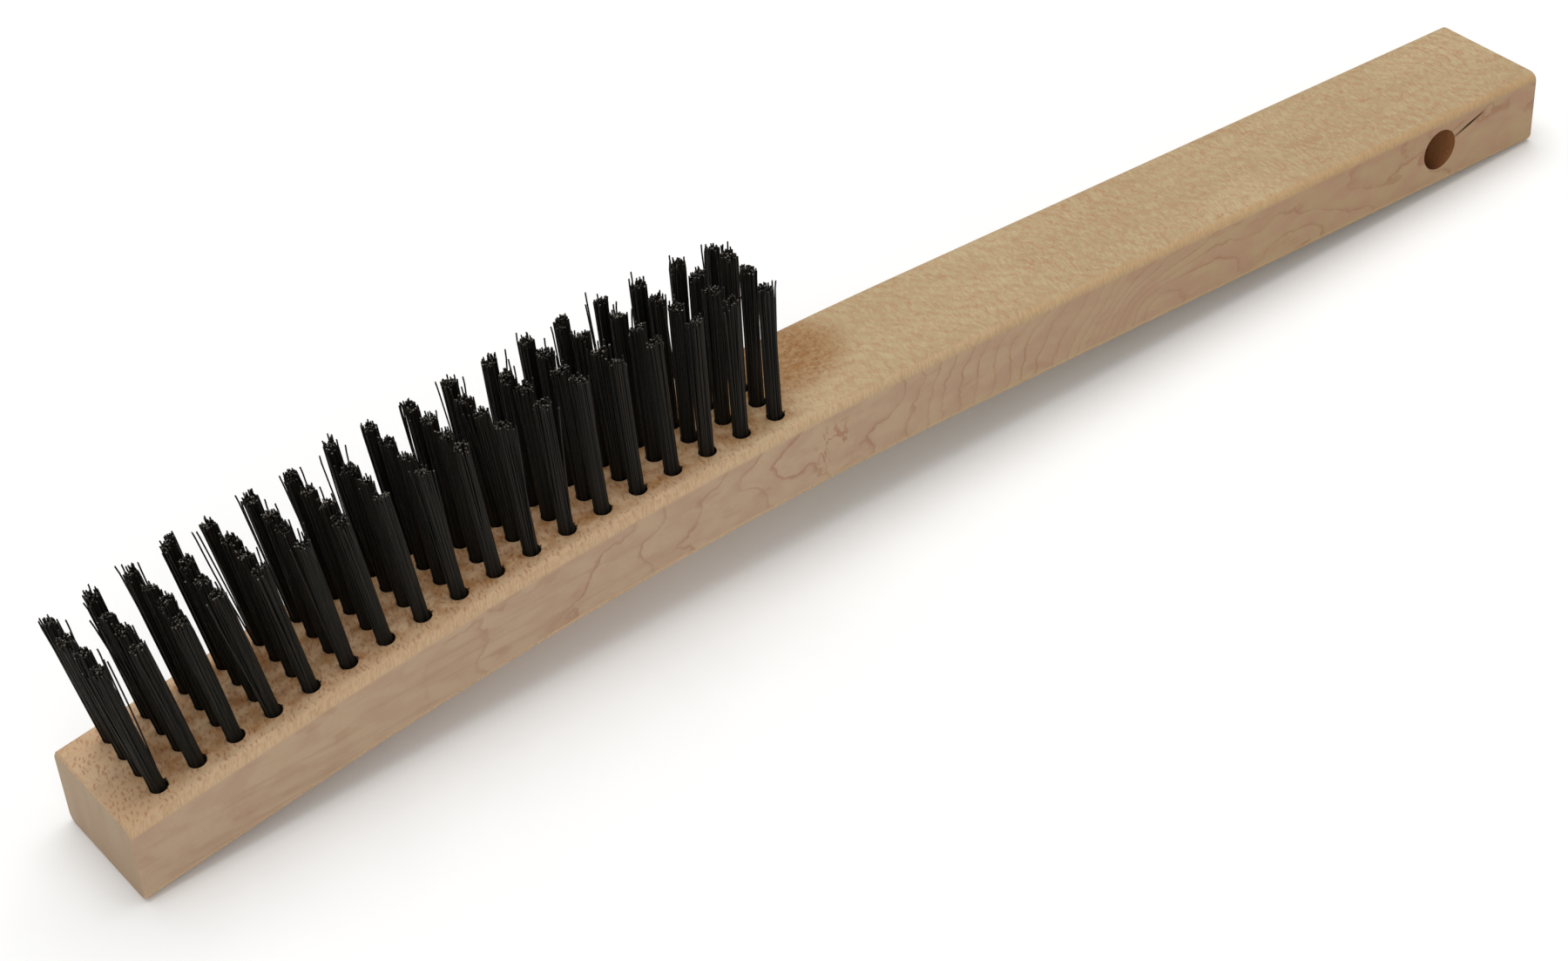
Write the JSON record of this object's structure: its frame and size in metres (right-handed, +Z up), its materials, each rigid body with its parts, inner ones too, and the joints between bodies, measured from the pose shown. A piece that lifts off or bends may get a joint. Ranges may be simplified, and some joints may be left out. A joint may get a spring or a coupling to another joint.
{
  "type": "wire brush",
  "caption": "Curved-handle wire scratch brush: bent hardwood block with a hanging hole through the handle and stapled tufts of black steel wire standing on its head.",
  "frame": {"origin": "middle of the brush's bounding box, on the surface it rests on, with the brush lying on its back", "axes": "+X along the block from the head end to the hanging-hole end, +Y across the block, +Z up, the way the bristles stand"},
  "size_m": [0.3494, 0.0288, 0.0577],
  "materials": {
    "block_wood": "bare sanded maple, unvarnished, pale tan with reddish flecks",
    "bristle_wire": "black oil-tempered carbon steel wire, satin, bright cut tips",
    "staple_wire": "bright drawn steel wire"
  },
  "bodies": {
    "root": {"handle_block": "block_wood", "tuft_row_01": "bristle_wire", "tuft_row_02": "bristle_wire", "tuft_row_03": "bristle_wire", "tuft_row_04": "bristle_wire", "tuft_row_05": "bristle_wire", "tuft_row_06": "bristle_wire", "tuft_row_07": "bristle_wire", "tuft_row_08": "bristle_wire", "tuft_row_09": "bristle_wire", "tuft_row_10": "bristle_wire", "tuft_row_11": "bristle_wire", "tuft_row_12": "bristle_wire", "tuft_row_13": "bristle_wire", "tuft_row_14": "bristle_wire", "tuft_row_15": "bristle_wire", "tuft_row_16": "bristle_wire", "tuft_row_17": "bristle_wire", "tuft_row_18": "bristle_wire", "staple_row_01": "staple_wire", "staple_row_02": "staple_wire", "staple_row_03": "staple_wire", "staple_row_04": "staple_wire", "staple_row_05": "staple_wire", "staple_row_06": "staple_wire", "staple_row_07": "staple_wire", "staple_row_08": "staple_wire", "staple_row_09": "staple_wire", "staple_row_10": "staple_wire", "staple_row_11": "staple_wire", "staple_row_12": "staple_wire", "staple_row_13": "staple_wire", "staple_row_14": "staple_wire", "staple_row_15": "staple_wire", "staple_row_16": "staple_wire", "staple_row_17": "staple_wire", "staple_row_18": "staple_wire"}
  },
  "joints": []
}
